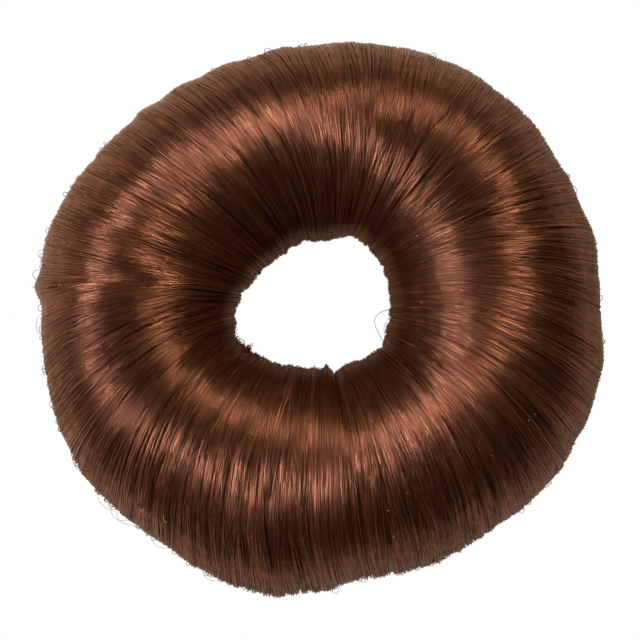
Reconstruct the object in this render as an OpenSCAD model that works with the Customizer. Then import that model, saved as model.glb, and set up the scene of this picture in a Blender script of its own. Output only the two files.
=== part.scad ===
// Hair donut bun maker: a padding ring wound crosswise with straight synthetic hair.
// The ring lies flat with its hole along Z. Millimetres, +Z up, origin under the middle of the ring.

/* [Ring] */
// Width of the ring from edge to edge, before the uneven outline
ring_od = 90; // [70:1:110]
// Width of the hole, before the uneven outline
hole_d = 23; // [14:1:30]
// Height of the ring as it lies
ring_h = 30; // [22:1:36]
// How far the soft underside is pressed flat
rest_sink = 1.2; // [0.6:0.1:2.4]

/* [Padding] */
// Thickness of the hair wound over the padding, at the crown
winding_t = 5.5; // [4:0.5:7]
// Gap left all round between the padding and the winding
padding_gap = 0.3; // [0.2:0.1:0.6]

/* [Locks] */
// Number of locks that the winding shows round the ring
lock_count = 30; // [24:1:34]
// Depth of the folds between the locks
fold_depth = 0.5; // [0.1:0.1:0.9]

/* [Closing lock] */
// Width of the closing lock at the ring's outer edge
closing_w = 5; // [3:0.5:8]
// Thickness of the closing lock
closing_t = 1; // [0.7:0.1:1.5]
// Gap between the closing lock and the channel that it lies in
closing_gap = 0.2; // [0.1:0.05:0.3]

/* [Hidden] */

// The outline seen from above, a row every 15 degrees anticlockwise from +X.
// Columns: azimuth in degrees, outer edge as a share of ring_od / 2, hole edge as a share of
// hole_d / 2, and the lean of the hair: the azimuth it gains from the crown to the outer edge
outline = [
    [0, 1.001, 0.953, -9],
    [15, 0.998, 0.983, -8],
    [30, 0.997, 1.023, -6],
    [45, 1.002, 1.070, -2],
    [60, 0.999, 1.113, 2],
    [75, 0.981, 1.060, 5],
    [90, 0.953, 0.988, 7],
    [105, 0.941, 0.983, 8],
    [120, 0.939, 0.953, 6.5],
    [135, 0.956, 0.960, 3.5],
    [150, 0.980, 1.016, 2],
    [165, 1.009, 1.087, 3],
    [180, 0.999, 1.176, 7],
    [195, 1.007, 1.210, 12],
    [210, 1.022, 1.106, 14],
    [225, 1.013, 0.990, 14],
    [240, 1.008, 0.877, 11],
    [255, 1.036, 0.826, 7],
    [270, 0.998, 0.821, 2],
    [285, 0.973, 0.848, -2],
    [300, 0.983, 0.842, -5],
    [315, 1.002, 0.904, -9],
    [330, 1.019, 0.981, -10],
    [345, 1.021, 0.957, -10],
];
outer_share = 1;
hole_share = 2;
lean = 3;

// Folds deeper than those between two locks.
// Columns: azimuth at the crown, depth as a share of fold_depth, width to each side in degrees
main_folds = [
    [28, 1.0, 4],
    [98, 1.2, 4],
    [122, 1.4, 4],
    [172, 2.4, 5],
    [197, 1.4, 4],
    [208, 1.2, 4],
    [245, 1.0, 4],
    [310, 1.0, 4],
    [342, 1.4, 4],
];

// Share of the tube's width, from the hole, at which its highest line lies
crown_share = 0.55;
// Steps round the tube's section
section_steps = 36;
// Azimuth of the closing lock's middle, at the bottom of the ring seen from above
closing_az = 277;
// Azimuth that the closing lock's channel takes up at each side of its middle
channel_half = closing_w / ring_od * 180 / PI + closing_gap / hole_d * 360 / PI;
// Azimuth that a wall of the channel takes up
channel_wall = 0.8;
channel_depth = closing_t + closing_gap;

tube_w = (ring_od - hole_d) / 2;
tube_mid = (ring_od + hole_d) / 4;
padding_d = min(tube_w, ring_h) - 2 * winding_t;
padding_z = ring_h / 2;

// Value of one column of the outline at an azimuth, joined smoothly through the rows
function outline_at(column, az) =
    let (
        rows = len(outline),
        place = az / 360 * rows,
        row = floor(place),
        f = place - row,
        a = outline[(row - 1 + 2 * rows) % rows][column],
        b = outline[(row + 2 * rows) % rows][column],
        c = outline[(row + 1 + 2 * rows) % rows][column],
        d = outline[(row + 2 + 2 * rows) % rows][column]
    )
    b + f / 2 * (c - a + f * (2 * a - 5 * b + 4 * c - d + f * (3 * (b - c) + d - a)));

function outer_edge(az) = ring_od / 2 * outline_at(outer_share, az);
function hole_edge(az) = hole_d / 2 * outline_at(hole_share, az);

// Point of the tube's section as [distance from the axis, height]. The section angle t starts at
// the crown and turns outward: 90 is the outer edge, 180 the underside and 270 the hole
function section(az, t) =
    let (
        inner = hole_edge(az),
        share = (1 + sin(t)) / 2,
        crowned_share = share + 4 * (crown_share - 0.5) * share * (1 - share),
        drop = cos(t) < 0 ? rest_sink : 0
    )
    [
        inner + (outer_edge(az) - inner) * crowned_share,
        max(0, ring_h / 2 + (ring_h / 2 + drop) * cos(t))
    ];

// Whether the section is pressed flat on the surface at t
function pressed(t) = cos(t) < -ring_h / (ring_h + 2 * rest_sink);

// Outward direction of the section at t, from its points a small turn to each side
function section_normal(az, t, turn = 2) =
    let (along = section(az, t + turn) - section(az, t - turn), across = [-along[1], along[0]])
    across / norm(across);

// Point on the winding at a crown azimuth and a section angle, raised by a height. The hair's
// lean turns it on from its crown azimuth
function skin_point(az, t, raised) =
    let (
        true_az = az + outline_at(lean, az) * sin(t),
        at = section(true_az, t) + raised * section_normal(true_az, t)
    )
    [at[0] * cos(true_az), at[0] * sin(true_az), max(0, at[1])];

// Distance between two azimuths
function az_between(a, b) = abs((a - b + 900) % 360 - 180);

// Depth of the main folds at an azimuth
function main_fold_depth(az) =
    max([for (fold = main_folds)
        let (near = max(0, 1 - az_between(az, fold[0]) / fold[2]))
        fold_depth * fold[1] * near * near * (3 - 2 * near)]);

// A value from 0 to 1 that differs from fold to fold
function uneven(i) = (1 + sin(i * 137.5)) / 2;

// The locks fill the ring from one side of the channel round to the other, the first and the last
// ending at its walls. The other folds stray by a share of a lock's width
locks_from = closing_az + channel_half + channel_wall;
locks_span = 360 - 2 * (channel_half + channel_wall);
fold_stray = 0.25;
function fold_az(i) =
    let (stray = i > 0 && i < lock_count ? fold_stray * (2 * uneven(i) - 1) : 0)
    locks_from + locks_span / lock_count * (i + stray);

// Depth of a fold, the shallowest a share of the deepest
shallowest = 0.3;
function fold_low(i) = fold_depth * (shallowest + (1 - shallowest) * uneven(i + 0.4));

// A lock's profile over a quarter of its width each.
// Columns: share of the depth of the fold before it, share of the depth of the fold after it
lock_profile = [
    [1, 0],
    [0.2, 0],
    [0, 0],
    [0, 0.2],
];

// Stations round the ring as [crown azimuth, height of the folds, height of the channel]
stations = concat(
    [for (side = [-1, 0, 1]) [closing_az + side * channel_half, 0, -channel_depth]],
    [for (i = [0 : lock_count - 1], k = [0 : len(lock_profile) - 1])
        let (
            az = fold_az(i) + k / len(lock_profile) * (fold_az(i + 1) - fold_az(i)),
            low = lock_profile[k] * [fold_low(i), fold_low(i + 1)]
        )
        [az, -low - main_fold_depth(az), 0]],
    [[fold_az(lock_count), -fold_low(lock_count), 0]]
);

// Triangles of a closed surface made of rings of points, the last ring joined to the first
function ring_faces(rings, steps) = [
    for (i = [0 : rings - 1], j = [0 : steps - 1])
        let (a = i * steps, b = (i + 1) % rings * steps, next = (j + 1) % steps)
        each [[a + j, b + j, b + next], [a + j, b + next, a + next]]
];

function section_angle(j) = 360 * j / section_steps;

// The folds fade where the underside is pressed flat, and the channel stays
winding_points = [
    for (station = stations, j = [0 : section_steps - 1])
        let (t = section_angle(j), fold = pressed(t) ? 0 : station[1])
        skin_point(station[0], t, fold + station[2])
];

// The ring stands on the middle of its box
x_middle = (max([for (p = winding_points) p[0]]) + min([for (p = winding_points) p[0]])) / 2;
y_middle = (max([for (p = winding_points) p[1]]) + min([for (p = winding_points) p[1]])) / 2;

// The closing lock's cross-section, crowned over the plain surface.
// Columns: place across it as a share of its half width, depth as a share of its thickness
closing_outline = [
    [1, 1],
    [1, 0.45],
    [0.6, 0.05],
    [0, -0.1],
    [-0.6, 0.05],
    [-1, 0.45],
    [-1, 1],
    [0, 1],
];

// The lock's azimuth to each side at a section angle, its gap to the channel the same all round
function closing_half(t) = channel_half - closing_gap / section(closing_az, t)[0] * 180 / PI;

closing_points = [
    for (j = [0 : section_steps - 1], p = closing_outline)
        let (t = section_angle(j), depth = pressed(t) && p[1] < 1 ? 0 : p[1])
        skin_point(closing_az + p[0] * closing_half(t), t, -depth * closing_t)
];

module torus(width) {
    rotate_extrude($fn = 96)
        translate([tube_mid, padding_z])
            circle(d = width, $fn = 48);
}

module padding_ring() {
    color("#4a342a")
        translate([-x_middle, -y_middle, 0])
            torus(padding_d);
}

module hair_winding() {
    color("#6b4030")
        translate([-x_middle, -y_middle, 0])
            difference() {
                polyhedron(winding_points, ring_faces(len(stations), section_steps), convexity = 6);
                torus(padding_d + 2 * padding_gap);
            }
}

module closing_lock() {
    color("#7a4a38")
        translate([-x_middle, -y_middle, 0])
            polyhedron(closing_points, ring_faces(section_steps, len(closing_outline)), convexity = 4);
}

padding_ring();
hair_winding();
closing_lock();
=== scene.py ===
import math

import bmesh
import bpy
import numpy as np
from mathutils import Matrix, Vector
from mathutils.bvhtree import BVHTree


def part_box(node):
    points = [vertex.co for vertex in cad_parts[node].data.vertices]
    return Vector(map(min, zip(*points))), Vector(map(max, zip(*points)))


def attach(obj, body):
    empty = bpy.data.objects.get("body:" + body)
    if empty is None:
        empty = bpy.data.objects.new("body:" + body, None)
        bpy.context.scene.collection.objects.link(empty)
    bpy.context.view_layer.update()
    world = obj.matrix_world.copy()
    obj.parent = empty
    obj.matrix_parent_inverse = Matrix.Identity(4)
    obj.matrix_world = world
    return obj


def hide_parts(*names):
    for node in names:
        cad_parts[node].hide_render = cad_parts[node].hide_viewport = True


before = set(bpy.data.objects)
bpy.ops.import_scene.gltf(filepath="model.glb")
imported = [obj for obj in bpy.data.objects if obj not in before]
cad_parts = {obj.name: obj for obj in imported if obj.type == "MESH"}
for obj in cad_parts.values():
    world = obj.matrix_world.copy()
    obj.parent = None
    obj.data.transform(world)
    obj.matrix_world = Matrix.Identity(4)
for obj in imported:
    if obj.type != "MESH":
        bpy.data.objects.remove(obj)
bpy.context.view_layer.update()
mm = 0.001
print("frame loaded:", sorted(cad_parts))

# The padding gives the ring's own lines: its axis, half height, radius and tube
paddingLow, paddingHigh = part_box("padding_ring")
ringMiddle = (paddingLow + paddingHigh) / 2
paddingThick = paddingHigh.z - paddingLow.z
ringRadius = (paddingHigh.x - paddingLow.x - paddingThick) / 2

# The photo looks straight down, and its scale holds at half the ring's height
photo = {
    "pxPerMm": 6.25,
    "axisX": 320.5,         # pixel of the ring's axis
    "axisY": 310.0,
    "width": 640,
    "cameraHeight": 0.5,
    "clip": (0.01, 10),
}


def fromPhoto(px, py, z):
    x = ringMiddle.x + (px - photo["axisX"]) / photo["pxPerMm"] * mm
    y = ringMiddle.y + (photo["axisY"] - py) / photo["pxPerMm"] * mm
    return Vector((x, y, z))


cameraPlace = fromPhoto(photo["width"] / 2, photo["width"] / 2, photo["cameraHeight"])


def makeCamera():
    seen = photo["width"] / photo["pxPerMm"] * mm
    data = bpy.data.cameras.new("photoCamera")
    data.lens = data.sensor_width * (photo["cameraHeight"] - ringMiddle.z) / seen
    data.clip_start, data.clip_end = photo["clip"]
    camera = bpy.data.objects.new("photoCamera", data)
    camera.location = cameraPlace
    bpy.context.scene.collection.objects.link(camera)
    bpy.context.scene.camera = camera


makeCamera()
print("camera ready")


# Where the camera's line through a pixel is at a height, and where it meets the hair
def cameraLine(px, py):
    return (fromPhoto(px, py, ringMiddle.z) - cameraPlace).normalized()


def pixelAtHeight(px, py, z):
    line = cameraLine(px, py)
    return cameraPlace + line * (z - cameraPlace.z) / line.z


def pixelOnHair(px, py, lift):
    place, normal = hairTree.ray_cast(cameraPlace, cameraLine(px, py))[:2]
    return place + normal * lift


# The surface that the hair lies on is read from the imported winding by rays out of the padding.
# Its table goes by crown azimuth and section angle, so that a straight line in it is a hair.
# The section angle is 0 at the top, 90 at the rim, 180 below and 270 in the hole
winding = {
    "azimuthSteps": 720,
    "sectionSteps": 96,
    "facetPasses": 6,       # smoothing along the section
    "foldPasses": 16,       # and round the ring
    # azimuth that the hair gains from the crown to the rim, every 15 degrees from +X
    "lean": [-9, -8, -6, -2, 2, 5, 7, 8, 6.5, 3.5, 2, 3,
             7, 12, 14, 14, 11, 7, 2, -2, -5, -9, -10, -10],
    "leanPasses": 8,        # rounds in which the crown azimuth of a place is found
    "crownBand": 0.2 * mm,  # points this near the highest one lie on the crown
    "lockBand": 0.6 * mm,   # and the closing lock's, which is rounded across
    "rayStart": 1.0 * mm,   # distance from the padding at which a ray starts
    "lockFold": 4.0,        # degrees that the channel's wall and fold take up beside the lock
    "channelWall": 1.2,     # and the wall alone
    "seamGap": 0.18,        # degrees free of hair at the seam, anticlockwise of the lock
    # what the hair adds to the rim and in the hole, in mm, every 10 degrees from +X
    "rimMore": [-0.55, 0.05, 0.15, -0.1, -0.05, -0.1, -0.2, -0.65, -0.5, -0.65, -0.4, -0.3,
                -0.25, -0.05, -0.5, -0.15, -0.3, 0.1, -0.15, -0.6, -0.2, 0.1, 0.4, -0.35,
                -0.2, -0.4, -0.2, -0.45, -0.85, 0, 0, -0.1, 0, 0.45, 0, 0.1],
    "holeMore": [-0.2, -0.15, -0.2, -0.1, -0.2, 0, -0.15, -0.2, 0.25, 0.45, 0, 0.05,
                 0.3, 0.05, 0.1, 0.1, 0.25, 0.1, -0.1, 0.3, -0.65, -0.3, -0.25, -0.1,
                 -0.15, -0.1, 0.1, -0.05, -0.4, -0.05, 0, -0.3, 0.05, -0.1, -0.1, 0.1],
    "moreEdge": 4,          # power with which both fade towards the crown
    # how much higher the hair lies outside the crown than inside it, in mm, every 30 degrees
    "crownMore": [0, 0, -0.2, 0, -0.2, -0.3, 0.4, -0.05, -0.5, -0.45, -0.65, -0.58],
}
# What the two joints of the winding do to the hair beside them
seams = {
    "frayed": 171.9,        # crown azimuth of the frayed joint
    "frayedSkew": -0.9,     # degrees that the joint itself leans
    "frayedLean": 2.4,      # degrees by which hair leans away from it
    "frayedReach": 7.0,     # and the distance at which it leans the most
    "bulge": 1.55 * mm,     # how far it bulges at the rim
    "bulgeReach": 2.3,
    "bulgeEdge": 3,         # power with which it fades towards the crown
    "calm": 0.4,            # how much less restless the hair is beside it
    "glossAndPaintedSheen": 0.35,          # and how much glossier and lighter: lower roughness, and a lighter colour that is a painted highlight
    "calmReach": 6.0,
    # how much lower hair clockwise and anticlockwise of it lies outside the crown than inside
    "steps": (1.8 * mm, 1.0 * mm),
    "stepReach": (7.0, 6.0),
    "stepEdge": 0.3,        # half the width of the change from one to the other
    "groove": 0.55 * mm,    # depth of the frayed joint's own groove
    "grooveReach": 0.6,
    "notch": 0.5 * mm,      # depth of the closed joint's notch in the hole
    "notchReach": 5.0,
    # how far the closed joint bends away from the lock's line, as a cubic of the lean share
    "bend": [1.3, 1.55, -1.8, -2.05],
    "bendReach": 14.0,
}


# Value at an azimuth of a table whose rows are evenly spread round the ring from +X
def tableAt(table, azimuth):
    rows = np.array(table, float)
    place = np.asarray(azimuth, float) / 360 * len(rows)
    row = np.floor(place).astype(int)
    f = place - row
    a, b, c, d = (rows[(row + k) % len(rows)] for k in (-1, 0, 1, 2))
    return b + f / 2 * (c - a + f * (2 * a - 5 * b + 4 * c - d + f * (3 * (b - c) + d - a)))


def crownPoints(name, band):
    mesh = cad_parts[name].data
    points = np.zeros(len(mesh.vertices) * 3)
    mesh.vertices.foreach_get("co", points)
    points = points.reshape(-1, 3) - np.array(ringMiddle)
    return points[points[:, 2] > points[:, 2].max() - band]


# The crown lies a little outside the middle of the tube
crownOut = np.hypot(*crownPoints("hair_winding", winding["crownBand"])[:, :2].T).mean() - ringRadius
crownTurn = math.degrees(math.atan2(crownOut, ringMiddle.z))
lockAzimuths = np.degrees(np.arctan2(*crownPoints("closing_lock", winding["lockBand"])[:, 1::-1].T)) % 360
lockAzimuth = (lockAzimuths.min() + lockAzimuths.max()) / 2
lockHalf = (lockAzimuths.max() - lockAzimuths.min()) / 2
hairFrom = lockAzimuth + lockHalf + winding["seamGap"]
hairSpan = 360 - 2 * lockHalf - winding["seamGap"]


# How far along its lean a hair is: 0 at the crown, 1 at the rim and -1 in the hole
def leanShare(section):
    return np.sin(np.radians(section - crownTurn * np.cos(np.radians(section))))


# Crown azimuth of the hair that passes an azimuth at a section angle
def crownAt(azimuth, section):
    crown = azimuth
    for i in range(winding["leanPasses"]):
        crown = azimuth - tableAt(winding["lean"], crown) * leanShare(section)
    return crown


def unit(vectors):
    return vectors / np.linalg.norm(vectors, axis=-1, keepdims=True)


# A share that falls from 1 to 0 beside a place
def beside(away, reach):
    return np.exp(-(away / reach) ** 2)


# Degrees from one azimuth on to another, between -180 and 180
def azimuthFrom(start, azimuth):
    return (azimuth - start + 180) % 360 - 180


def smoothed(values, axis, passes):
    for i in range(passes):
        values = (np.roll(values, 1, axis) + 2 * values + np.roll(values, -1, axis)) / 4
    return values


def nodeTree(name):
    shape = bmesh.new()
    shape.from_mesh(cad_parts[name].data)
    tree = BVHTree.FromBMesh(shape)
    shape.free()
    return tree


hairTree = nodeTree("hair_winding")


def readSurface():
    steps, sections = winding["azimuthSteps"], winding["sectionSteps"]
    crown = (np.arange(steps) * 360 / steps)[:, None]
    section = (np.arange(sections) * 360 / sections)[None, :]
    share = leanShare(section)
    azimuth = np.radians(crown + tableAt(winding["lean"], crown) * share)
    tilt = np.radians(section)[..., None]
    outward = np.stack([np.cos(azimuth), np.sin(azimuth), 0 * azimuth], -1)
    ray = np.sin(tilt) * outward + np.cos(tilt) * (0, 0, 1)
    start = np.array(ringMiddle) + ringRadius * outward + ray * (paddingThick / 2 + winding["rayStart"])
    reach = np.zeros((steps, sections))
    for spot in np.ndindex(reach.shape):
        reach[spot] = hairTree.ray_cast(Vector(start[spot]), Vector(ray[spot]))[3]
    reach = smoothed(reach, 1, winding["facetPasses"])
    fromLock = abs(azimuthFrom(lockAzimuth, crown))
    solid = fromLock[:, 0] > lockHalf + winding["lockFold"]
    bridged = reach.copy()
    for j in range(sections):
        bridged[:, j] = np.interp(crown[:, 0], crown[solid, 0], reach[solid, j], period=360)
    toRim, toHole = np.clip(share, 0, 1), np.clip(-share, 0, 1)
    rimMore, holeMore, crownMore = (mm * tableAt(winding[part], np.degrees(azimuth))
                                    for part in ("rimMore", "holeMore", "crownMore"))
    more = rimMore * toRim ** winding["moreEdge"] + holeMore * toHole ** winding["moreEdge"]
    upper = np.sin(np.radians(section)) * np.clip(np.cos(np.radians(section)), 0, 1)
    more = more + 2 * crownMore * upper
    away = azimuthFrom(seams["frayed"] + seams["frayedSkew"] * share, crown)
    more = more + seams["bulge"] * beside(away, seams["bulgeReach"]) * toRim ** seams["bulgeEdge"]
    after = 0.5 + 0.5 * np.tanh(away / seams["stepEdge"])
    for step, stepReach, side in zip(seams["steps"], seams["stepReach"], (1 - after, after)):
        more = more - 2 * step * upper * side * beside(away, stepReach)
    more = more - seams["groove"] * beside(away, seams["grooveReach"]) * np.sin(np.pi * toRim) ** 0.5
    plain = smoothed(bridged, 0, winding["foldPasses"]) + more
    channelDepth = (bridged - reach)[round(lockAzimuth / 360 * steps)]
    inChannel = np.clip(lockHalf + winding["channelWall"] - fromLock, 0, 1)
    tables = []
    for depth in (plain, plain - channelDepth * inChannel):
        place = start + ray * depth[..., None]
        along = np.roll(place, -1, 1) - np.roll(place, 1, 1)
        around = np.roll(place, -1, 0) - np.roll(place, 1, 0)
        normal = unit(np.cross(along, around))
        if (normal * ray).sum() < 0:
            normal = -normal
        tables.append(np.concatenate([place, normal], -1))
    return tables


# Points and outward normals of a table at crown azimuths and section angles in degrees
def onSurface(table, crown, section):
    rows, columns = table.shape[:2]
    u, v = np.broadcast_arrays(crown / 360 * rows, section / 360 * columns)
    i, j = np.floor(u).astype(int), np.floor(v).astype(int)
    fu, fv = (u - i)[..., None], (v - j)[..., None]
    near, far = (table[k % rows, j % columns] * (1 - fv) + table[k % rows, (j + 1) % columns] * fv
                 for k in (i, i + 1))
    found = near * (1 - fu) + far * fu
    return found[..., :3], unit(found[..., 3:])


def overSurface(table, crown, section, height):
    places, normals = onSurface(table, crown, section)
    return places + height[..., None] * normals


hairSurface, bareSurface = readSurface()
print("surface read:", hairSurface.shape, "crown turned by", round(crownTurn, 2))


templateRadius = 0.25       # of the sections, whose points are moved to their places later


# A ring of square-on sections about +Z
def ringTemplate(sides, steps):
    shape = bmesh.new()
    section = Matrix.Translation((1, 0, 0)) @ Matrix.Rotation(math.pi / 2, 4, "X")
    bmesh.ops.create_circle(shape, segments=sides, radius=templateRadius, matrix=section)
    bmesh.ops.spin(shape, geom=shape.verts[:] + shape.edges[:], cent=(0, 0, 0), axis=(0, 0, 1),
                   angle=2 * math.pi, steps=steps, use_merge=True, use_duplicate=False)
    return shape


def ringPlace(point, sides, steps):
    turn = math.atan2(point.y, point.x) / (2 * math.pi) % 1
    side = math.atan2(point.z, math.hypot(point.x, point.y) - 1) / (2 * math.pi) % 1
    return round(turn * steps) % steps, round(side * sides) % sides


# A straight bar along +X with closed ends, one unit for each step
def barTemplate(sides, steps):
    shape = bmesh.new()
    lying = Matrix.Translation((steps / 2, 0, 0)) @ Matrix.Rotation(math.pi / 2, 4, "Y")
    bmesh.ops.create_cone(shape, segments=sides, radius1=templateRadius, radius2=templateRadius,
                          depth=steps, cap_ends=True, cap_tris=False, matrix=lying)
    longEdges = [e for e in shape.edges if abs(e.verts[0].co.x - e.verts[1].co.x) > steps / 2]
    bmesh.ops.subdivide_edges(shape, edges=longEdges, cuts=steps - 1, use_grid_fill=True)
    return shape


def barPlace(point, sides, steps):
    side = math.atan2(point.z, point.y) / (2 * math.pi) % 1
    return round(point.x), round(side * sides) % sides


columnMargin = 0.1          # share of a column that stays free at each side


# Each copy's UV island keeps to a column of its own
def spreadColumns(mesh, count):
    layer = mesh.uv_layers["OFBake"]
    uvs = np.zeros(len(mesh.loops) * 2, np.float32)
    layer.data.foreach_get("uv", uvs)
    uvs = uvs.reshape(count, -1, 2)
    inner = uvs[..., 0] * (1 - 2 * columnMargin) + columnMargin
    uvs[..., 0] = (inner + np.arange(count)[:, None]) / count
    layer.data.foreach_set("uv", uvs.ravel())


def objectFrom(name, shape):
    mesh = bpy.data.meshes.new(name)
    shape.to_mesh(mesh)
    shape.free()
    piece = bpy.data.objects.new(name, mesh)
    bpy.context.scene.collection.objects.link(piece)
    return piece


# One mesh of many rings or bars, and the step and side of each of its corners
def manyOf(name, sides, steps, count, closed):
    shape = (ringTemplate if closed else barTemplate)(sides, steps)
    bmesh.ops.recalc_face_normals(shape, faces=shape.faces[:])
    place = ringPlace if closed else barPlace
    uv = shape.loops.layers.uv.new("OFBake")
    for face in shape.faces:
        spots = [place(loop.vert.co, sides, steps) for loop in face.loops]
        for loop, (step, side) in zip(face.loops, spots):
            if closed and step == 0 and max(s[0] for s in spots) > 1:
                step = steps
            if side == 0 and max(s[1] for s in spots) > 1:
                side = sides
            loop[uv].uv = (side / sides, step / steps)
    places = np.array([place(v.co, sides, steps) for v in shape.verts])
    piece = objectFrom(name, shape)
    if count > 1:
        copies = piece.modifiers.new("copies", "ARRAY")
        copies.count = count
        copies.use_relative_offset = False
        seen = piece.evaluated_get(bpy.context.evaluated_depsgraph_get())
        piece.data = bpy.data.meshes.new_from_object(seen)
        piece.data.name = name
        piece.modifiers.clear()
        spreadColumns(piece.data, count)
    return piece, places[:, 0], places[:, 1]


def setPoints(piece, points):
    piece.data.vertices.foreach_set("co", points.astype(np.float32).ravel())
    piece.data.shade_smooth()
    piece.data.update()


def belongs(piece, material, *nodes):
    piece.data.materials.append(material)
    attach(piece, "root")
    if nodes:
        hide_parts(*nodes)


# Each copy has a tone of its own, which the material goes by
def dressHair(piece, points, tones, material, *nodes):
    setPoints(piece, points)
    tone = piece.data.attributes.new("tone", "FLOAT", "POINT")
    values = np.repeat(tones, len(tone.data) // np.size(tones))
    tone.data.foreach_set("value", values.astype(np.float32))
    belongs(piece, material, *nodes)


# Hair sections have two corners up and one down, so that what shows is one rounded face
sectionCorners = np.radians([30, 150, 270])
sectionFlat = 0.8           # height of a section as a share of its width
floorClear = 0.02 * mm


def sweep(centres, normals, widths, rolls, closed):
    if closed:
        along = np.roll(centres, -1, 1) - np.roll(centres, 1, 1)
    else:
        along = np.gradient(centres, axis=1)
    along = unit(along)
    across = unit(np.cross(along, normals))
    above = np.cross(across, along)
    rolls = np.asarray(rolls)[..., None]
    right = across * np.cos(rolls) + above * np.sin(rolls)
    up = above * np.cos(rolls) - across * np.sin(rolls)
    widths = np.asarray(widths)[..., None, None] / 2
    corners = sectionCorners[:, None]
    points = centres[:, :, None] + widths * (np.cos(corners) * right[:, :, None]
                                             + sectionFlat * np.sin(corners) * up[:, :, None])
    points[..., 2] = np.maximum(points[..., 2], floorClear)
    return points


# Hair lies in locks, and a lock in bunches. Each has its own lean, height, waves and tone
locks = {
    "seed": 12,
    "narrowest": 0.9,       # degrees at the crown
    "widest": 4.5,
    "lean": 0.5,            # degrees by which one leans more or less than its neighbours
    "rise": 0.02 * mm,
    "wave": 0.22 * mm,
    "slowest": 3,           # waves round the tube
    "tone": 0.10,
}
bunches = {
    "seed": 11,
    "narrowest": 0.35,
    "widest": 1.2,
    "lean": 0.9,
    "rise": 0.04 * mm,
    "wave": 0.14 * mm,
    "slowest": 4,
    "tone": 0.18,
    "sink": 0.045 * mm,     # how far a bunch's edges lie below its middle
    "paintedEdgeShade": 0.08,       # and how much darker they are, painted shade where bunches meet
    "turn": 20,             # degrees that its edges turn away
    # how restless the hair is, every 30 degrees from +X
    "unrest": [0.6, 0.9, 1.2, 0.9, 0.8, 1.0, 1.0, 1.3, 1.3, 1.3, 1.3, 1.3],
}
strands = {
    "seed": 100,
    "pieces": 3,
    "perPiece": 760,
    "steps": 34,
    "crowded": 12,          # degrees by which the steps crowd towards the upper side
    "proud": 0.24 * mm,     # how far the hair's middle height lies over the plain surface
    "holeProud": 0.14 * mm,  # and how much more than that in the hole
    "width": 0.12 * mm,
    "widths": (0.75, 1.25),  # its spread, as shares
    "lean": 0.45,
    "crossing": 0.6,        # furthest lean share from the crown at which it crosses its own line
    "rise": 0.04 * mm,
    "wave": 0.03 * mm,
    "slowest": 6,
    "furthest": 0.36 * mm,  # all that waves and rise can add up to
    "layered": 0.35,        # share of it that is left where the ring is pressed flat on the floor
    "endFade": 4.0,         # degrees over which hair loses its own lean towards the closing lock
    # share of its unrest that the hair loses at the rim, every 30 degrees from +X, and in the hole
    "calmRim": [0.7, 0.7, 0.7, 0.7, 0.7, 0.7, 0.6, 0.6, 0.4, 0.0, 0.4, 0.6],
    "calmHole": 0.8,
    "turn": 14,             # degrees by which single hairs turn about their own lines
    "middleTone": 0.5,
    "tone": 0.13,
    "leads": 0.12,          # share of thicker hairs that lie on top and differ more in tone
    "leadWidth": 1.35,
    "leadRise": 0.06 * mm,
    "leadTone": 0.28,
    "strays": 0.045,
    "strayLean": 4.0,
    "strayRise": 0.16 * mm,
    "strayWidth": 0.5,
    "strayTone": 0.2,
    # how far single hairs stand off the rim, in mm, every 30 degrees from +X
    "rimLoose": [0.03, 0.03, 0.05, 0.04, 0.03, 0.04, 0.04, 0.06, 0.11, 0.17, 0.15, 0.06],
    "rimEdge": 12,          # power with which that fades away from the rim
}


waveCount = 3               # waves along a hair that add up


def makeGroups(facts):
    draw = np.random.default_rng(facts["seed"])
    widths = []
    while sum(widths) < hairSpan:
        widths.append(draw.uniform(facts["narrowest"], facts["widest"]))
    edges = np.concatenate([[0], np.cumsum(widths)])
    n = len(widths)
    return {
        "edges": hairFrom + edges / edges[-1] * hairSpan,
        "lean": draw.normal(0, facts["lean"], n),
        "rise": draw.normal(0, facts["rise"], n),
        "phase": draw.uniform(0, 2 * np.pi, (n, waveCount)),
        "wave": draw.normal(0, facts["wave"], (n, waveCount)),
        "tone": draw.normal(0, facts["tone"], n),
    }


lockFacts = makeGroups(locks)
bunchFacts = makeGroups(bunches)


def groupAt(facts, crown):
    return np.clip(np.searchsorted(facts["edges"], crown) - 1, 0, len(facts["lean"]) - 1)


def waves(section, phase, height, slowest):
    turn = np.radians(section)
    total = 0
    for k in range(waveCount):
        total = total + height[:, k:k + 1] * np.sin((slowest + 2 * k) * turn + phase[:, k:k + 1]) / (1 + k)
    return total


def ownWaves(draw, count, section, height):
    phase = draw.uniform(0, 2 * np.pi, (count, waveCount))
    return waves(section, phase, draw.normal(0, height, (count, waveCount)), strands["slowest"])


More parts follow.
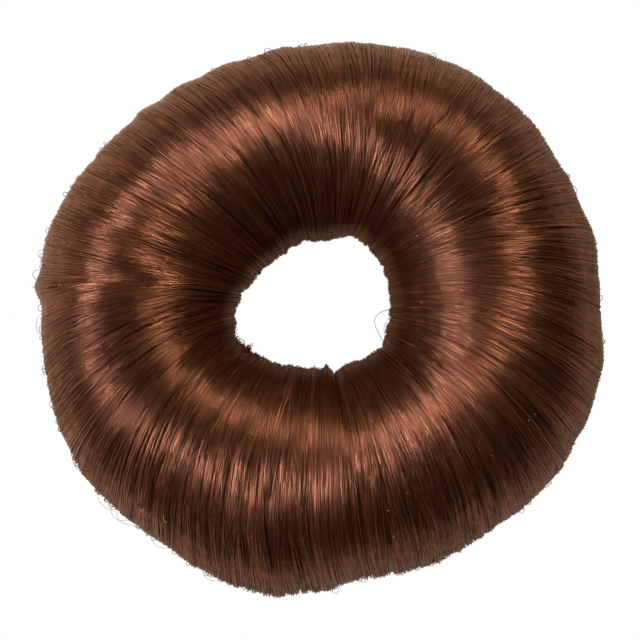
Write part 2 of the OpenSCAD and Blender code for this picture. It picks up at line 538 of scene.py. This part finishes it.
def strandPaths(draw, count, sections):
    crown = hairFrom + (np.arange(count) + draw.uniform(0, 1, count))[:, None] / count * hairSpan
    lock, bunch = groupAt(lockFacts, crown), groupAt(bunchFacts, crown)
    low, high = bunchFacts["edges"][bunch], bunchFacts["edges"][bunch + 1]
    place = (crown - low) / (high - low) * 2 - 1
    stray = draw.uniform(0, 1, (count, 1)) < strands["strays"]
    lead = draw.uniform(0, 1, (count, 1)) < strands["leads"]
    share = leanShare(sections)
    toRim, toHole = np.clip(share, 0, 1), np.clip(-share, 0, 1)
    ownLean = draw.normal(0, strands["lean"], (count, 1))
    ownLean = np.where(stray, draw.normal(0, strands["strayLean"], (count, 1)), ownLean)
    away = azimuthFrom(seams["frayed"], crown)
    atSeam = beside(away, seams["calmReach"])
    unrest = tableAt(bunches["unrest"], crown) - seams["calm"] * atSeam
    away = away / seams["frayedReach"]
    bunchLean = seams["frayedLean"] * away * np.exp((1 - away ** 2) / 2)
    bunchLean = bunchLean + lockFacts["lean"][lock] + bunchFacts["lean"][bunch]
    shift = strands["crossing"] * draw.uniform(-1, 1, (count, 1))
    toEnd = np.minimum(crown - hairFrom, hairFrom + hairSpan - crown)
    loosened = np.clip(toEnd / strands["endFade"], 0, 1)
    crownLine = crown + loosened * (bunchLean + ownLean) * (share + shift)
    crownLine = np.clip(crownLine, hairFrom, hairFrom + hairSpan)
    calmRim = tableAt(strands["calmRim"], crown)
    calm = 1 - np.where(share > 0, calmRim, strands["calmHole"]) * share ** 2
    own = lockFacts["rise"][lock] + bunchFacts["rise"][bunch] - bunches["sink"] * place ** 2
    for facts, group, settings in ((lockFacts, lock[:, 0], locks), (bunchFacts, bunch[:, 0], bunches)):
        phase, wave = facts["phase"][group], facts["wave"][group]
        own = own + unrest * waves(sections, phase, wave, settings["slowest"])
    own = own + draw.normal(0, strands["rise"], (count, 1)) + lead * strands["leadRise"]
    own = own + unrest * ownWaves(draw, count, sections, strands["wave"])
    height = strands["proud"] + strands["holeProud"] * toHole
    height = height + strands["furthest"] * np.tanh(own * calm / strands["furthest"])
    standing = abs(draw.normal(0, 1, (count, 1))) * tableAt(strands["rimLoose"], crown) * mm
    height = height + standing * toRim ** strands["rimEdge"]
    height = height + stray * strands["strayRise"] * unrest * (1 - toHole)
    notch = np.exp(-(crownLine - hairFrom) / seams["notchReach"])
    height = height - seams["notch"] * notch * toHole ** 2
    roll = -place * bunches["turn"] + draw.normal(0, strands["turn"], (count, 1))
    tone = strands["middleTone"] + lockFacts["tone"][lock] + bunchFacts["tone"][bunch]
    # Hair beside the frayed joint is glossier and painted lighter, a painted highlight
    tone = tone + draw.normal(0, strands["tone"], (count, 1)) + seams["glossAndPaintedSheen"] * atSeam
    # Bunch edges are painted darker: painted shade where bunches meet
    tone = tone - bunches["paintedEdgeShade"] * place ** 2 + strands["strayTone"] * stray
    tone = tone + lead * draw.normal(0, strands["leadTone"], (count, 1))
    width = strands["width"] * draw.uniform(*strands["widths"], (count, 1))
    width = width * np.where(stray, strands["strayWidth"], np.where(lead, strands["leadWidth"], 1))
    return crownLine, height, np.radians(roll), tone, width


# The closing lock's hair lies side by side over its width, rounded off at the seam
closing = {
    "seed": 200,
    "count": 130,
    "proud": 0.30 * mm,
    "edgeDrop": 0.36 * mm,
    # how much darker its hair is towards the seam: painted shade in the seam
    "paintedEdgeShade": 0.25,
    "fullness": 6,          # power of the round, a higher one being flatter on top
    "turn": 38,             # degrees that its edge turns away
    "turnPower": 4,
    "lean": 0.25,
    "wave": 0.06 * mm,
    "tone": 0.15,
    "bodyDepth": 0.45 * mm,
    "bodyThick": 0.9 * mm,
    "bodyWide": 1.08,       # share of the lock's width
    "bodySides": 10,
    "bodySteps": 96,
    "past": 0.3,            # share of its half width by which the hair goes on at the other edge
    "flap": 0.85 * mm,      # the pointed flap in the hole, steep on the side away from the seam
    "flapPlace": -0.85,
    "flapWidths": (0.22, 0.95),
}


def lockPaths(draw, count, sections):
    place = 1 - (np.arange(count) + draw.uniform(0, 1, count))[:, None] / count * (2 + closing["past"])
    share = leanShare(sections)
    toHole = np.clip(-share, 0, 1)
    crownLine = lockAzimuth + lockHalf * place + draw.normal(0, closing["lean"], (count, 1)) * share
    crownLine = np.minimum(crownLine, lockAzimuth + lockHalf)
    seamSide = np.clip(place, 0, 1)
    height = closing["proud"] - closing["edgeDrop"] * seamSide ** closing["fullness"]
    height = height + strands["holeProud"] * toHole
    flapWidth = np.where(place < closing["flapPlace"], *closing["flapWidths"])
    flap = closing["flap"] * beside(place - closing["flapPlace"], flapWidth)
    height = height + flap * toHole ** 2 + draw.normal(0, strands["rise"], (count, 1))
    height = height + ownWaves(draw, count, sections, closing["wave"])
    roll = draw.normal(0, strands["turn"], (count, 1)) - closing["turn"] * seamSide ** closing["turnPower"]
    # The lock's hair is painted darker towards the seam: painted shade in the seam
    tone = strands["middleTone"] - closing["paintedEdgeShade"] * seamSide ** closing["fullness"]
    tone = tone + draw.normal(0, closing["tone"], (count, 1))
    width = strands["width"] * draw.uniform(*strands["widths"], (count, 1))
    return crownLine, height, np.radians(roll), tone, width


def layStrands(name, seed, count, sections, closed, tuck, paths=strandPaths):
    draw = np.random.default_rng(seed)
    steps = len(sections) if closed else len(sections) - 1
    piece, step, side = manyOf(name, len(sectionCorners), steps, count, closed)
    crownLine, height, roll, tone, width = paths(draw, count, sections)
    bend = beside(azimuthFrom(lockAzimuth, crownLine), seams["bendReach"])
    crownLine = crownLine + np.polyval(seams["bend"], leanShare(sections)) * bend
    centres, normals = onSurface(hairSurface, crownLine, sections)
    outward = np.hypot(centres[..., 0] - ringMiddle.x, centres[..., 1] - ringMiddle.y)
    width = width * np.sqrt(outward / ringRadius)
    centres = centres + (height - tuck)[..., None] * normals
    inward = strands["layered"] * (strands["furthest"] + strands["proud"] - height)
    centres[..., 2] = np.maximum(centres[..., 2], floorClear + width / 2 + np.maximum(inward, 0))
    points = sweep(centres, normals, width, roll, closed)
    dressHair(piece, points[:, step, side], tone, hair)


# A body of hair closes what shows between the strands; its darker tone and weaker specular are painted
# shade, for the shade deep between the strands
skin = {
    "sides": 40,
    "steps": 400,
    "height": -0.22 * mm,   # over the plain surface
    "edgeMore": 0.40 * mm,  # and how much higher it lies at the rim and in the hole
    "overFloor": 0.30 * mm,
    # darker than the hair over it: painted shade
    "tone": 0.3,
}


def makeSkin():
    sides, steps = skin["sides"], skin["steps"]
    piece, step, side = manyOf("windingUnderlay", sides, steps, 1, True)
    section = 90 - side * 360 / sides
    height = skin["height"] + skin["edgeMore"] * leanShare(section) ** 2
    points = overSurface(bareSurface, step * 360 / steps, section, height)
    points[:, 2] = np.maximum(points[:, 2], skin["overFloor"])
    dressHair(piece, points, skin["tone"], shadedUnderHair, "hair_winding")


def newMaterial(name):
    material = bpy.data.materials.new(name)
    material.use_nodes = True
    return material, material.node_tree, material.node_tree.nodes["Principled BSDF"]


def setInputs(node, values):
    for name, value in values.items():
        node.inputs[name].default_value = value
    return node


def join(tree, source, output, target, entry):
    tree.links.new(source.outputs[output], target.inputs[entry])


# A noise on the piece's own coordinates
def addNoise(tree, values):
    noise = setInputs(tree.nodes.new("ShaderNodeTexNoise"), values)
    join(tree, tree.nodes.new("ShaderNodeTexCoord"), "Object", noise, "Vector")
    return noise


# Colours a shader by a node's values and a ramp, whose stops are places and colours
def addRamp(tree, stops, source, output, shader):
    ramp = tree.nodes.new("ShaderNodeValToRGB")
    elements = ramp.color_ramp.elements
    for element, (place, color) in ((elements[0], stops[0]), (elements[1], stops[-1])):
        element.position = place
        element.color = (*color, 1)
    for place, color in stops[1:-1]:
        elements.new(place).color = (*color, 1)
    join(tree, source, output, ramp, "Fac")
    join(tree, ramp, "Color", shader, "Base Color")


hairLook = {
    # tones and their colours
    "stops": [(0.15, (0.006, 0.0020, 0.0007)), (0.6, (0.021, 0.0074, 0.0027)),
              (1.0, (0.056, 0.0215, 0.0084))],
    "patches": {"Scale": 180, "Detail": 3},
    "patchTone": 0.25,
    "tint": (1.0, 0.445, 0.275),
    "ior": 1.9,
    "specular": 1.0,
    "dull": 0.40,           # roughness of the darkest hair
    "shiny": 0.22,          # and of the lightest
}


def hairMaterial(name, look):
    material, tree, shader = newMaterial(name)
    tone = tree.nodes.new("ShaderNodeAttribute")
    tone.attribute_name = "tone"
    patches = addNoise(tree, look["patches"])
    mix = tree.nodes.new("ShaderNodeMath")
    mix.operation = "MULTIPLY_ADD"
    mix.inputs[1].default_value = look["patchTone"]
    join(tree, patches, "Fac", mix, 0)
    join(tree, tone, "Fac", mix, 2)
    addRamp(tree, look["stops"], mix, "Value", shader)
    gloss = tree.nodes.new("ShaderNodeMapRange")
    setInputs(gloss, {"To Min": look["dull"], "To Max": look["shiny"]})
    join(tree, tone, "Fac", gloss, "Value")
    join(tree, gloss, "Result", shader, "Roughness")
    setInputs(shader, {"IOR": look["ior"], "Specular IOR Level": look["specular"],
                       "Specular Tint": (*look["tint"], 1)})
    return material


hair = hairMaterial("brownHair", hairLook)
# The hair below has weaker specular, which is painted shade, and is rougher
shadedUnderHair = hairMaterial("brownHairBelowShaded", {**hairLook, "specular": 0.7, "dull": 0.6})

makeSkin()
print("underlay ready")


# The lock's body is an oval band below its hair, with the underlay's darker tone and weaker specular as
# painted shade
def makeLockBody():
    sides, steps = closing["bodySides"], closing["bodySteps"]
    piece, step, side = manyOf("closingLockBody", sides, steps, 1, True)
    turn = 2 * np.pi * side / sides
    crown = lockAzimuth + lockHalf * closing["bodyWide"] * np.cos(turn)
    height = closing["bodyThick"] / 2 * np.sin(turn) - closing["bodyDepth"]
    points = overSurface(hairSurface, crown, step * 360 / steps, height)
    inward = closing["bodyThick"] * (1 - np.sin(turn)) / 2
    points[:, 2] = np.maximum(points[:, 2], skin["overFloor"] + inward)
    dressHair(piece, points, skin["tone"], shadedUnderHair, "closing_lock")


makeLockBody()
evenly = np.arange(strands["steps"]) / strands["steps"] * 360
wholeRing = evenly - strands["crowded"] * np.sin(np.radians(evenly))
layStrands("closingLockHair", closing["seed"], closing["count"], wholeRing, True, 0, lockPaths)
print("closing lock ready")
for i in range(strands["pieces"]):
    layStrands(f"windingHair{i + 1}", strands["seed"] + i, strands["perPiece"], wholeRing, True, 0)
print("wound hair ready")

# More hair on the upper side, whose ends are tucked under the rest
topHair = {
    "seed": 300,
    "pieces": 3,
    "perPiece": 1400,
    "from": -58,
    "to": 122,
    "steps": 16,
    "tuck": 0.5 * mm,
    "tuckPower": 8,
}


def makeTopHair():
    sections = np.linspace(topHair["from"], topHair["to"], topHair["steps"] + 1)
    toEnd = np.abs(np.linspace(-1, 1, topHair["steps"] + 1))
    tuck = topHair["tuck"] * toEnd ** topHair["tuckPower"]
    for i in range(topHair["pieces"]):
        layStrands(f"upperHair{i + 1}", topHair["seed"] + i, topHair["perPiece"], sections, False, tuck)


makeTopHair()
print("upper hair ready")

# Hairs that have come loose, one bar each through the points of a line
loose = {
    "seed": 400,
    "steps": 24,
    "smoothing": 2,
    "width": 0.075 * mm,
    "widths": (0.8, 1.2),   # its spread, as shares
    # width and tone of the chosen hairs, the crossing ones, the tuft's and the coiled ones; the coiled
    # ones' darkest tone is painted shade between their turns
    "kindWidths": (1.25, 1, 1.9, 1.5),
    "kindTones": (0.7, 0.25, 0.5, 0.0),
    "tone": 0.12,
    "onHair": 0.36 * mm,    # height of a hair that lies on the others, over the plain surface
    "atEnd": 0.10 * mm,     # and of an end that is held by them
    # the tuft's curls widen and rise from one end to the other
    "curl": {"points": 13, "turns": 1.3, "radii": (0.6, 1.1), "rise": 2.0 * mm},
    # hairs that cross the others, by their share of the way round and their section angles
    "crossing": {"count": 64, "round": (0.02, 0.98), "starts": (-60, 70), "long": (30, 75),
                 "lean": 4.5, "bow": (0.05 * mm, 0.35 * mm), "liftPower": 0.3},
    # coils along the frayed joint, most of them near the rim, stray as a mean and a spread
    "coils": {"count": 26, "nearRim": 0.7, "starts": ((38, 56), (4, 40)), "long": (8, 13), "turns": 5,
              "radius": 0.22 * mm, "radii": (0.6, 1.3), "stray": (0.1, 0.3), "fromAxis": 42 * mm},
}
# Pixels of the photo that single hairs pass, with their height in mm where they lie on nothing
singleHairs = [
    [(440, 306.5), (410, 307.5, 25.5), (390, 309, 22.5), (380, 312, 20.5), (373, 319, 19),
     (377, 331, 17.5), (385, 344, 15)],
    [(391, 316, 17), (386, 321, 18), (383.5, 330, 18), (387, 338, 16), (390, 343, 15)],
    [(391, 319, 16), (388, 325, 17), (386, 332, 17), (388, 340, 15)],
    [(401, 198), (404, 204), (408, 213), (411, 224)],
    [(536, 227), (545, 216), (551, 203)],
    [(472, 237), (488, 226), (505, 217)],
]
# Curls at the frayed joint in the hole, as the pixel, height in mm and radius in pixels of each
tuftCurls = [(247, 347.5, 15, 2.0), (248.3, 347.3, 16, 2.4), (249.5, 348.5, 15, 2.2), (248, 349.5, 17, 2.6),
             (250, 350.3, 16, 1.8), (246.5, 348.5, 17, 2.2), (248, 351, 17, 2.2), (249.5, 347, 17, 1.8),
             (255, 356, 15, 1.7), (257.5, 357.3, 16, 1.6), (242.5, 345.5, 17, 1.6), (245, 351, 17, 2.0)]
# and hairs that arch from one place at its edge to another
tuftArcs = [
    [(237, 343, 16), (238.6, 339.6, 17), (241, 338.8, 18), (244, 340.6, 18), (245.2, 344, 17),
     (244.5, 350, 16)],
    [(238, 345, 16), (240.5, 341.4, 17), (243, 342, 18), (244.6, 345, 17), (244, 351, 16)],
    [(247, 350, 16), (249.5, 345.2, 17), (252.5, 343, 18), (253.6, 344.6, 18), (251.5, 346.2, 17),
     (247, 350, 15)],
    [(232, 330, 16), (235.5, 327.5, 17), (237.6, 328.2, 18), (236.8, 330.5, 18), (231, 333, 16)],
    [(232, 334, 15), (236, 332, 16), (238, 334.5, 17), (238, 337, 17), (234, 339, 16)],
    [(234, 338, 15), (238, 336.4, 16), (240, 338, 17), (240, 341, 17), (236, 343, 16)],
    [(252, 358, 15), (254, 353.8, 16), (257, 353.6, 17), (259, 356, 17), (258, 361, 16)],
]
# Loops at the rim, with the section angles at which they leave the hair and come back to it
rimLoops = [
    (86, 92, [(73, 455), (72, 460), (76, 468), (82, 473), (90, 480)]),
    (88, 94, [(99, 491), (97.5, 495), (99, 501), (104, 507), (110, 510), (117, 511)]),
    (90, 84, [(111, 505), (110.5, 511), (114, 518), (122, 521), (130, 521)]),
    (94, 90, [(113, 511), (117, 520), (126, 524), (134, 526), (141, 528)]),
    (88, 92, [(151, 538), (153, 543), (160, 548), (166, 548), (171, 548)]),
    (92, 86, [(192, 561), (191, 565), (194, 567), (197, 563)]),
    (90, 95, [(202, 569), (204, 576), (209, 580), (216, 581), (224, 581)]),
    (92, 88, [(42, 249), (38.5, 251), (37.5, 255), (41, 261)]),
    (88, 94, [(39, 269), (34, 271), (32, 275), (36, 281)]),
    (86, 92, [(41, 312), (37, 318), (36, 326), (37.5, 332), (42, 338)]),
    (92, 88, [(602, 336), (605.5, 341), (604, 347)]),
    (90, 94, [(334, 586), (332, 592), (337, 594), (341, 587)]),
    (94, 88, [(364, 574), (361, 581), (366, 583), (369, 574)]),
    (90, 92, [(394, 569), (397, 576), (402, 573), (403, 567)]),
    (88, 92, [(427, 560), (431, 567), (437, 562), (438, 556)]),
]


def lineThrough(points, steps):
    points = np.array(points, float)
    run = np.concatenate([[0], np.cumsum(np.linalg.norm(np.diff(points, axis=0), axis=1))])
    at = np.linspace(0, run[-1], steps + 1)
    line = np.stack([np.interp(at, run, row) for row in points.T], -1)
    for i in range(loose["smoothing"]):
        line[1:-1] = (line[:-2] + 2 * line[1:-1] + line[2:]) / 4
    return line


def singleHair(pixels):
    points = []
    for pixel in pixels:
        if len(pixel) == 3:
            points.append(pixelAtHeight(pixel[0], pixel[1], pixel[2] * mm))
        else:
            points.append(pixelOnHair(*pixel, loose["onHair"]))
    return lineThrough(points, loose["steps"])


def rimLoop(sectionFrom, sectionTo, pixels):
    points = []
    for k, (px, py) in enumerate(pixels):
        section = sectionFrom + (sectionTo - sectionFrom) * k / (len(pixels) - 1)
        azimuth = math.degrees(math.atan2(photo["axisY"] - py, px - photo["axisX"]))
        place, normal = onSurface(hairSurface, crownAt(azimuth, section), section)
        if k in (0, len(pixels) - 1):
            points.append(place + normal * loose["atEnd"])
        else:
            points.append(pixelAtHeight(px, py, place[2]))
    return lineThrough(points, loose["steps"])


# A curl goes over the hair where there is some below it
def tuftCurl(draw, px, py, z, radius):
    curl = loose["curl"]
    turn = draw.uniform(0, 2 * math.pi)
    points = []
    for t in np.linspace(0, 1, curl["points"]):
        angle = turn + t * curl["turns"] * 2 * math.pi
        reach = radius * np.interp(t, (0, 1), curl["radii"])
        pixel = px + reach * math.cos(angle), py + reach * math.sin(angle)
        point = pixelAtHeight(*pixel, z * mm + t * curl["rise"])
        place, normal = hairTree.ray_cast(cameraPlace, cameraLine(*pixel))[:2]
        if place and place.z > point.z:
            point = place + normal * loose["onHair"]
        points.append(point)
    return lineThrough(points, loose["steps"])


def crossingHairs(draw, facts):
    count = facts["count"]
    t = np.linspace(0, 1, loose["steps"] + 1)
    crown = hairFrom + draw.uniform(*facts["round"], (count, 1)) * hairSpan
    unrest = tableAt(bunches["unrest"], crown)
    start = draw.uniform(*facts["starts"], (count, 1))
    section = start + t * draw.uniform(*facts["long"], (count, 1))
    lean = draw.normal(0, facts["lean"], (count, 1)) * unrest
    turned = leanShare(section) - leanShare(section[:, :1])
    bow = draw.uniform(*facts["bow"], (count, 1)) * np.sin(np.pi * t)
    lift = (loose["onHair"] - loose["atEnd"]) * np.sin(np.pi * t) ** facts["liftPower"]
    return overSurface(hairSurface, crown + lean * turned, section, loose["atEnd"] + lift + bow)


def seamCoils(draw, facts):
    count = facts["count"]
    t = np.linspace(0, 1, loose["steps"] + 1)
    nearRim = draw.uniform(0, 1, (count, 1)) < facts["nearRim"]
    start = np.where(nearRim, *[draw.uniform(*ends, (count, 1)) for ends in facts["starts"]])
    section = start + t * draw.uniform(*facts["long"], (count, 1))
    turn = 2 * np.pi * facts["turns"] * t * draw.choice([-1, 1], (count, 1))
    turn = turn + draw.uniform(0, 2 * np.pi, (count, 1))
    radius = facts["radius"] * draw.uniform(*facts["radii"], (count, 1))
    skew = seams["frayedSkew"] + draw.normal(*facts["stray"], (count, 1))
    crown = seams["frayed"] + skew * leanShare(section)
    crown = crown + np.degrees(radius * np.cos(turn) / facts["fromAxis"])
    return overSurface(hairSurface, crown, section, loose["atEnd"] + radius * (1 + np.sin(turn)))


# One piece of bars through lines, which are points by count and step
def makeHairs(name, lines, width, tone, material):
    piece, step, side = manyOf(name, len(sectionCorners), lines.shape[1] - 1, len(lines), False)
    fromMiddle = lines - np.array(ringMiddle)
    away = unit(fromMiddle - ringRadius * unit(fromMiddle * (1, 1, 0)))
    points = sweep(lines, away, width, 0, False)
    dressHair(piece, points[:, step, side], tone, material)


def makeLooseHair():
    draw = np.random.default_rng(loose["seed"])
    chosen = [singleHair(pixels) for pixels in singleHairs]
    chosen += [rimLoop(*facts) for facts in rimLoops]
    tuft = [tuftCurl(draw, *facts) for facts in tuftCurls]
    tuft += [singleHair(pixels) for pixels in tuftArcs]
    kinds = [chosen, crossingHairs(draw, loose["crossing"]), tuft, seamCoils(draw, loose["coils"])]
    counts = [len(kind) for kind in kinds]
    tone = np.repeat(loose["kindTones"], counts)[:, None]
    tone = tone + draw.normal(0, loose["tone"], tone.shape)
    width = np.repeat(loose["kindWidths"], counts)[:, None]
    width = width * loose["width"] * draw.uniform(*loose["widths"], width.shape)
    makeHairs("looseHair", np.concatenate(kinds), width, tone, hair)


makeLooseHair()

# Short frizz that stands off the rim and into the hole.
# Columns: how many, the section angle and its spread, the furthest it stands off, its share in
# each 30 degrees from +X
frizz = {
    "seed": 500,
    "slant": 9,             # degrees along the section
    "reach": (0.4, 1.5),    # and along the ring
    "loop": 0.25,           # how much further it bows out than it is wide at its foot
    "least": 0.3,           # share of the furthest by which the shortest stand off
    "shortPower": 1.5,      # a higher one making more of them short
    "steps": 12,
    "width": 0.13 * mm,
    "tone": (0.6, 0.15),    # mean and spread
    "rim": (210, 91, 9, 0.60 * mm, [2, 1, 1, 1, 1, 4, 4, 5, 7, 12, 1.5, 1]),
    "hole": (44, 268, 14, 0.32 * mm, [0, 0, 0, 1, 2, 3, 5, 8, 4, 1, 0, 0]),
}


def frizzLines(draw, count, middle, spread, furthest, shares):
    shares = np.array(shares, float)
    part = draw.choice(len(shares), count, p=shares / shares.sum())
    azimuth = (part + draw.uniform(0, 1, count)) * 360 / len(shares)
    t = np.linspace(0, 1, frizz["steps"] + 1)
    section = draw.normal(middle, spread, (count, 1))
    section = section + (t - 0.5) * frizz["slant"] * draw.uniform(-1, 1, (count, 1))
    crown = crownAt(azimuth, middle)[:, None]
    reach = draw.uniform(*frizz["reach"], (count, 1)) * draw.choice([-1, 1], (count, 1))
    loop = frizz["loop"] * draw.uniform(0, 1, (count, 1))
    crown = crown + (t - 0.5 - loop * np.sin(2 * np.pi * t)) * reach
    out = furthest * draw.uniform(frizz["least"], 1, (count, 1)) ** frizz["shortPower"]
    height = loose["atEnd"] + (strands["proud"] + out) * np.sin(np.pi * t)
    return overSurface(hairSurface, crown, section, height)


def makeFrizz():
    draw = np.random.default_rng(frizz["seed"])
    lines = np.concatenate([frizzLines(draw, *frizz["rim"]), frizzLines(draw, *frizz["hole"])])
    tone = draw.normal(*frizz["tone"], (len(lines), 1))
    makeHairs("shortFrizz", lines, frizz["width"], tone, hair)


makeFrizz()
print("loose hair ready")

# Pale lint by the photo's pixels, as small grains
lint = {
    "seed": 600,
    "radius": 0.08 * mm,
    "long": (0.8, 1.9),     # shares of it that a grain measures each way
    "wide": (0.6, 1.0),
    "high": 0.7,
    "lift": 0.38 * mm,
    "fibreWidth": 0.105 * mm,
    "tone": 0.5,
    "surface": {"Base Color": (0.34, 0.26, 0.19, 1), "Roughness": 0.8},
    "pixels": [
        (262, 218), (226, 237), (261, 239), (66, 243), (133, 261), (253, 70), (191, 271), (167, 268),
        (214, 289), (520, 161), (477, 220), (522, 246), (423, 302), (143, 509), (231, 509), (238, 511),
        (267, 401), (255, 369), (471, 378), (472, 398), (534, 414), (528, 420), (408, 492), (388, 510),
        (393, 535), (492, 455),
    ],
    "fibres": [
        [(140.5, 507.5), (142.5, 510.5), (145.5, 507)],
        [(164, 514), (164, 519), (167.5, 521)],
        [(181, 335), (184, 332), (187, 333)],
    ],
}


def makeLint():
    draw = np.random.default_rng(lint["seed"])
    shape = bmesh.new()
    for px, py in lint["pixels"]:
        place = Matrix.Translation(pixelOnHair(px, py, lint["lift"]))
        turn = Matrix.Rotation(draw.uniform(0, math.pi), 4, "Z")
        long, wide = draw.uniform(*lint["long"]), draw.uniform(*lint["wide"])
        stretch = Matrix.Diagonal((long, wide, lint["high"], 1))
        bmesh.ops.create_icosphere(shape, subdivisions=1, radius=lint["radius"],
                                   matrix=place @ turn @ stretch)
    material, tree, shader = newMaterial("paleLint")
    setInputs(shader, lint["surface"])
    belongs(objectFrom("lintGrains", shape), material)
    lines = np.array([singleHair(pixels) for pixels in lint["fibres"]])
    makeHairs("lintFibres", lines, lint["fibreWidth"], lint["tone"], material)


makeLint()
print("lint ready")

# The padding is a ring of matted fibre inside the winding
padding = {
    "sides": 24,
    "steps": 120,
    "inset": 0.35 * mm,
    "lump": 0.25 * mm,
    "lumps": [(5, 3), (3, -11), (1, 23)],  # waves round the tube and round the ring
    "stops": [(0.35, (0.035, 0.016, 0.009)), (0.7, (0.120, 0.062, 0.038))],
    "fibres": {"Scale": 900, "Detail": 6, "Distortion": 2.5},
    "bump": {"Strength": 0.6, "Distance": 0.3 * mm},
    "surface": {"Roughness": 0.85, "Sheen Weight": 0.3},
}


def paddingMaterial():
    material, tree, shader = newMaterial("mattedFibre")
    fibres = addNoise(tree, padding["fibres"])
    addRamp(tree, padding["stops"], fibres, "Fac", shader)
    bump = setInputs(tree.nodes.new("ShaderNodeBump"), padding["bump"])
    join(tree, fibres, "Fac", bump, "Height")
    join(tree, bump, "Normal", shader, "Normal")
    setInputs(shader, padding["surface"])
    return material


def makePadding():
    sides, steps = padding["sides"], padding["steps"]
    piece, step, side = manyOf("paddingCore", sides, steps, 1, True)
    turn, along = 2 * np.pi * side / sides, 2 * np.pi * step / steps
    lumps = [np.sin(m * turn + n * along) for m, n in padding["lumps"]]
    tube = paddingThick / 2 - padding["inset"] + padding["lump"] * np.mean(lumps, axis=0)
    reach = ringRadius + tube * np.cos(turn)
    points = np.stack([reach * np.cos(along), reach * np.sin(along), tube * np.sin(turn)], -1)
    setPoints(piece, points + np.array(ringMiddle))
    piece.data.materials.append(paddingMaterial())
    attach(piece, "root")
    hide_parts("padding_ring")


makePadding()
print("padding ready")

lights = {
    "distance": 1.2,
    "cool": {"azimuth": 184, "tilt": 48, "size": 0.46, "power": 17.1, "color": (1.0, 0.86, 0.89)},
    "warm": {"azimuth": 64.7, "tilt": 42.5, "size": 0.46, "power": 14.6, "color": (1.0, 0.80, 0.60)},
    # floor and room are seen as white, and light the ring in a weaker, warmer one
    "world": 0.018,
    "floorGlow": 0.30,
    "paintedLightSlope": 0.12,      # what the glow gains towards the upper left of the view, a painted pool of light on the floor
    "paintedLightAzimuth": 150,
    "paintedLightReach": 60 * mm,   # and the distance over which it does
    "floorSize": 1.5,
    "floorSurface": {"Base Color": (0.42, 0.41, 0.37, 1), "Roughness": 0.9},
    "glowColor": (1.0, 0.775, 0.52, 1),
}


def makeLight(name, facts):
    azimuth, tilt = math.radians(facts["azimuth"]), math.radians(facts["tilt"])
    level = math.sin(tilt)
    toward = Vector((level * math.cos(azimuth), level * math.sin(azimuth), math.cos(tilt)))
    data = bpy.data.lights.new(name, "AREA")
    data.shape = "DISK"
    data.size = facts["size"]
    data.energy = facts["power"]
    data.color = facts["color"]
    light = bpy.data.objects.new(name, data)
    light.location = ringMiddle + toward * lights["distance"]
    light.rotation_euler = toward.to_track_quat("Z", "Y").to_euler()
    bpy.context.scene.collection.objects.link(light)


# Puts an even white before a shader wherever the camera sees it straight
def seenWhite(tree, shader, output, target):
    mix = tree.nodes.new("ShaderNodeMixShader")
    join(tree, tree.nodes.new("ShaderNodeLightPath"), "Is Camera Ray", mix, 0)
    join(tree, shader, output, mix, 1)
    join(tree, tree.nodes.new("ShaderNodeEmission"), "Emission", mix, 2)
    join(tree, mix, "Shader", tree.nodes[target], "Surface")


def makeStudio():
    makeLight("coolSoftLight", lights["cool"])
    makeLight("warmSoftLight", lights["warm"])
    world = bpy.data.worlds.new("paleRoom")
    world.use_nodes = True
    background = world.node_tree.nodes["Background"]
    setInputs(background, {"Color": lights["glowColor"], "Strength": lights["world"]})
    seenWhite(world.node_tree, background, "Background", "World Output")
    bpy.context.scene.world = world
    bpy.context.scene.view_settings.view_transform = "Standard"
    shape = bmesh.new()
    bmesh.ops.create_grid(shape, x_segments=1, y_segments=1, size=lights["floorSize"])
    floor = objectFrom("paleFloor", shape)
    material, tree, shader = newMaterial("paleFloor")
    setInputs(shader, {**lights["floorSurface"], "Emission Color": lights["glowColor"]})
    # The glow that the ring sees is stronger towards the upper left: a painted pool of light where the
    # lamps light the floor
    toward = tree.nodes.new("ShaderNodeVectorMath")
    toward.operation = "DOT_PRODUCT"
    paintedLightAzimuth = math.radians(lights["paintedLightAzimuth"])
    toward.inputs[1].default_value = (math.cos(paintedLightAzimuth), math.sin(paintedLightAzimuth), 0)
    reach, level, slope = lights["paintedLightReach"], lights["floorGlow"], lights["paintedLightSlope"]
    glow = setInputs(tree.nodes.new("ShaderNodeMapRange"), {
        "From Min": -reach, "From Max": reach, "To Min": level - slope, "To Max": level + slope})
    join(tree, tree.nodes.new("ShaderNodeTexCoord"), "Object", toward, 0)
    join(tree, toward, "Value", glow, "Value")
    join(tree, glow, "Result", shader, "Emission Strength")
    seenWhite(tree, shader, "BSDF", "Material Output")
    floor.data.materials.append(material)


makeStudio()
print("studio ready")
